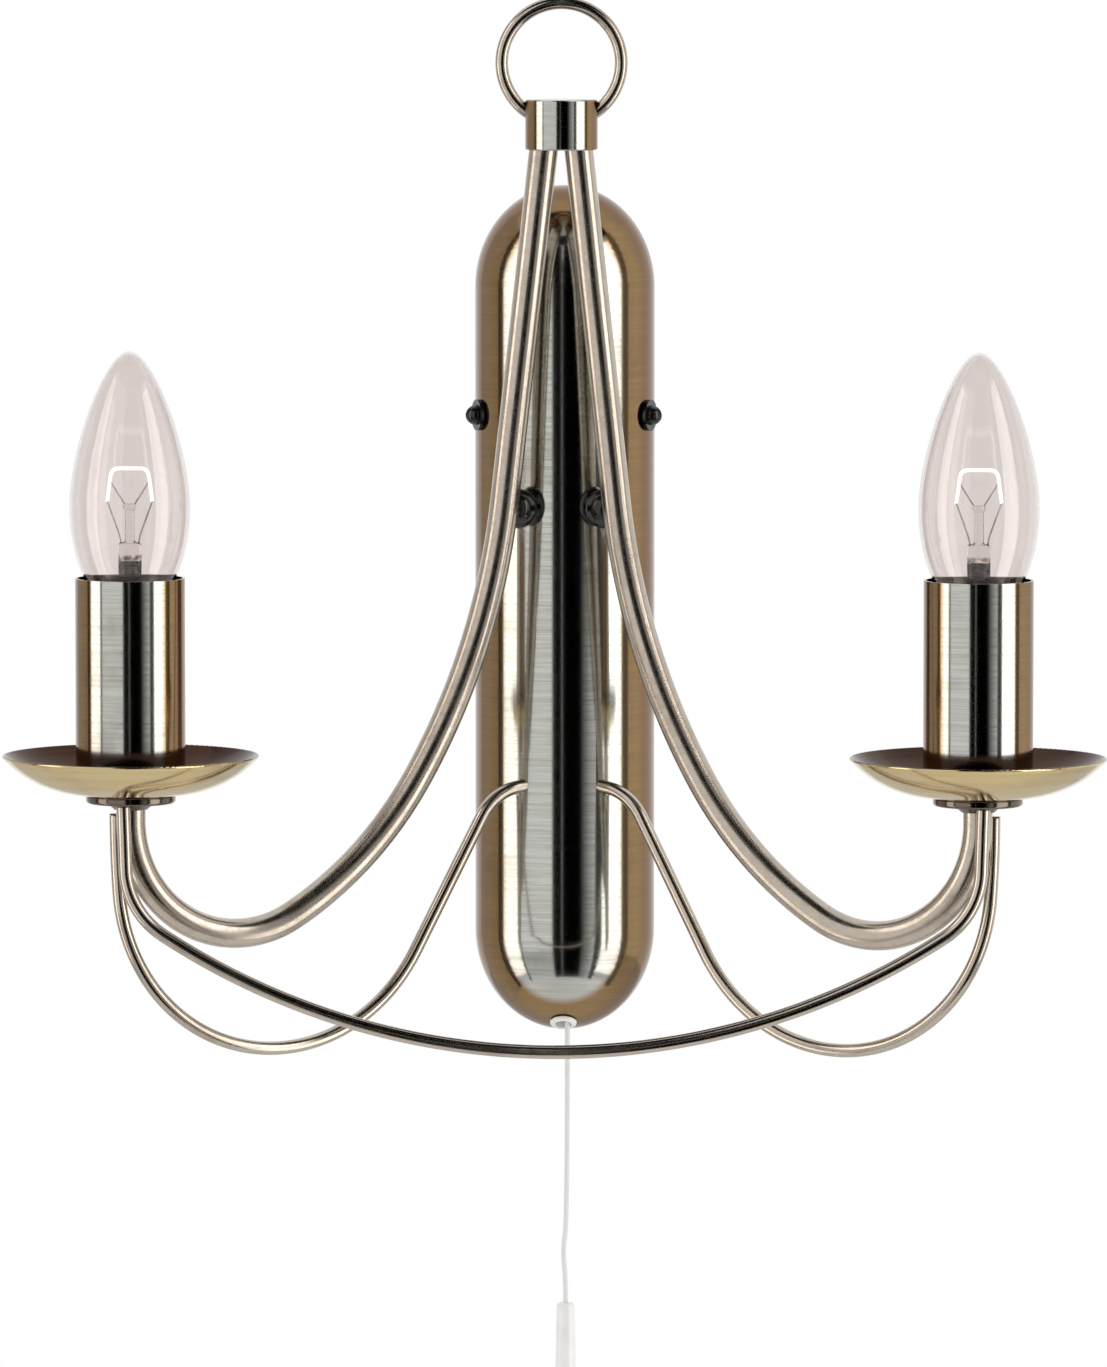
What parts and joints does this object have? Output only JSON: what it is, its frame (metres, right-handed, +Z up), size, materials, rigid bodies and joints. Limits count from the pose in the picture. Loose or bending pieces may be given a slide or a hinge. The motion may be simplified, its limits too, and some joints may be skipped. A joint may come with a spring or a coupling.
{
  "type": "wall sconce",
  "caption": "Wall sconce with a half-round back cover, bent tube arms on a ringed collar, candle lights on drip pans, bowed braces and a pull-cord switch.",
  "frame": {"origin": "middle of the wall bracket's back face, at the height of the back cover's centre", "axes": "+Z up, +Y into the wall, so the sconce stands in front of it towards -Y, +X along the wall"},
  "size_m": [0.3216, 0.133, 0.4263],
  "materials": {
    "cover_brass": "antique brass, finely brushed, near-black in the hollows of the finish",
    "pan_brass": "antique brass, brushed in rings, dark brown inside",
    "tube_brass": "antique brass, brushed round the tube",
    "arm_brass": "antique brass, polished, grey with a brown tint",
    "wire_brass": "antique brass, polished wire",
    "collar_brass": "antique brass, turned",
    "screw_black": "gloss black",
    "zinc_steel": "zinc-plated steel",
    "rubber": "black rubber",
    "terminal_plastic": "natural nylon",
    "holder_plastic": "black thermoset",
    "contact_brass": "bright brass contact",
    "clear_glass": "clear blown glass",
    "mount_glass": "pressed lead glass",
    "cap_nickel": "nickel-plated screw cap",
    "filament_wire": "drawn tungsten and nickel wire",
    "switch_plastic": "white moulding",
    "bush_plastic": "white moulded ring",
    "spring_steel": "spring wire",
    "cord": "thin off-white cord",
    "handle": "smooth moulding"
  },
  "bodies": {
    "root": {"back_cover": "cover_brass", "wall_bracket": "zinc_steel", "cable_bush": "rubber", "terminal_block": "terminal_plastic", "terminal_screws": "zinc_steel", "earth_screw": "contact_brass", "collar": "collar_brass", "top_ring": "wire_brass", "standoff_nuts": "zinc_steel", "brace_nuts": "zinc_steel", "tie_rod": "wire_brass", "switch_housing": "switch_plastic", "switch_cap": "switch_plastic", "switch_spring": "spring_steel", "cord_bush": "bush_plastic", "arm_left": "arm_brass", "arm_right": "arm_brass", "standoff_left": "screw_black", "standoff_right": "screw_black", "brace_left": "wire_brass", "brace_right": "wire_brass", "arm_flange_left": "arm_brass", "arm_flange_right": "arm_brass", "pan_seat_left": "arm_brass", "pan_seat_right": "arm_brass", "drip_pan_left": "pan_brass", "drip_pan_right": "pan_brass", "nipple_left": "zinc_steel", "nipple_right": "zinc_steel", "holder_nut_left": "zinc_steel", "holder_nut_right": "zinc_steel", "lamp_holder_left": "holder_plastic", "lamp_holder_right": "holder_plastic", "holder_contact_left": "contact_brass", "holder_contact_right": "contact_brass", "candle_tube_left": "tube_brass", "candle_tube_right": "tube_brass"},
    "pull": {"switch_plunger": "switch_plastic", "cord_tail": "cord", "pull_cord": "cord", "pull_handle": "handle"},
    "rotor": {"switch_rotor": "switch_plastic"},
    "screw_left": {"side_screw_left": "screw_black"},
    "lamp_left": {"lamp_glass_left": "clear_glass", "lamp_cap_left": "cap_nickel", "lamp_mount_left": "mount_glass", "filament_left": "filament_wire"},
    "screw_right": {"side_screw_right": "screw_black"},
    "lamp_right": {"lamp_glass_right": "clear_glass", "lamp_cap_right": "cap_nickel", "lamp_mount_right": "mount_glass", "filament_right": "filament_wire"}
  },
  "joints": [
    {"name": "cord_pull", "type": "slide", "parent": "root", "child": "pull", "axis": [0, 0, -1], "range_m": [0, 0.008], "stiffness_N_per_m": 400, "springref_m": -0.005, "deforming": ["switch_spring"]},
    {"name": "switch_turn", "type": "hinge", "parent": "root", "child": "rotor", "pos_m": [0.0012, -0.0126, -0.08], "axis": [0, 0, 1], "range_deg": [0, 45]},
    {"name": "screw_turn_left", "type": "hinge", "parent": "root", "child": "screw_left", "pos_m": [0, 0, 0.0586], "axis": [-0.9336, -0.3584, 0], "range_deg": [0, 720]},
    {"name": "screw_turn_right", "type": "hinge", "parent": "root", "child": "screw_right", "pos_m": [0, 0, 0.0586], "axis": [0.9336, -0.3584, 0], "range_deg": [0, 720]},
    {"name": "lamp_turn_left", "type": "hinge", "parent": "root", "child": "lamp_left", "pos_m": [-0.1234, -0.09561, 0], "axis": [0, 0, 1], "range_deg": [0, 1080]},
    {"name": "lamp_turn_right", "type": "hinge", "parent": "root", "child": "lamp_right", "pos_m": [0.1234, -0.09561, 0], "axis": [0, 0, 1], "range_deg": [0, 1080]}
  ],
  "couplings": [
    {"joint": "switch_turn", "follows": "cord_pull", "rad_per_m": 98.17}
  ]
}
